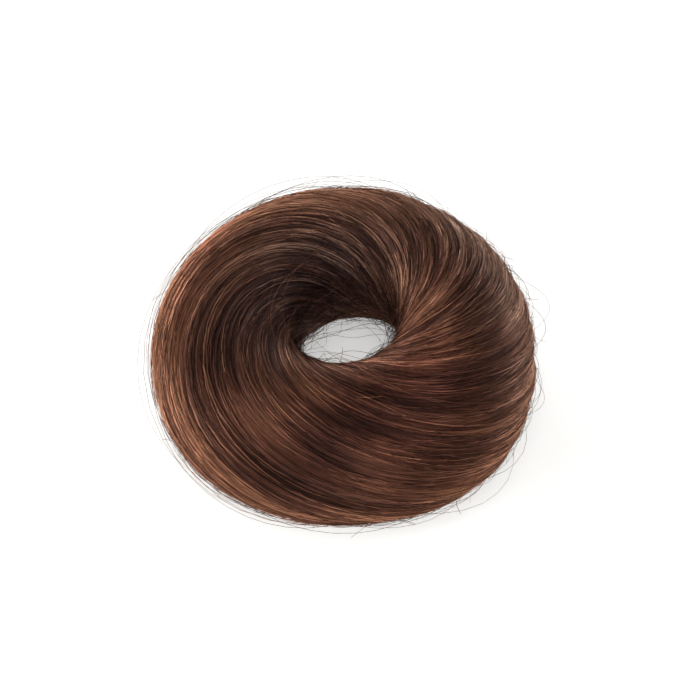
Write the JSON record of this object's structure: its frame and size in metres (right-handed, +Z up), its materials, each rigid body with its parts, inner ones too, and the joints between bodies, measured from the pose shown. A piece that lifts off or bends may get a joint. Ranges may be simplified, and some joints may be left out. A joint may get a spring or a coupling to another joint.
{
  "type": "top knot hairpiece",
  "caption": "Fat ring of smooth brown hair wound round an elastic loop, with an oval hole that a ponytail goes through, lying flat as a ready-made bun.",
  "frame": {"origin": "on the pressed underside, below the middle of the hair's outline", "axes": "+Z up out of the underside, along the hole; -Y towards the front, where the roll is thickest; +X to the right, where the strands crowd together at the hole"},
  "size_m": [0.1092, 0.1098, 0.04],
  "materials": {
    "hair": "smooth chestnut brown hair with a soft silky sheen along the strands",
    "elastic": "matt black, covered with fine woven thread"
  },
  "bodies": {
    "root": {"hair_roll": "hair", "elastic_band": "elastic"}
  },
  "joints": []
}
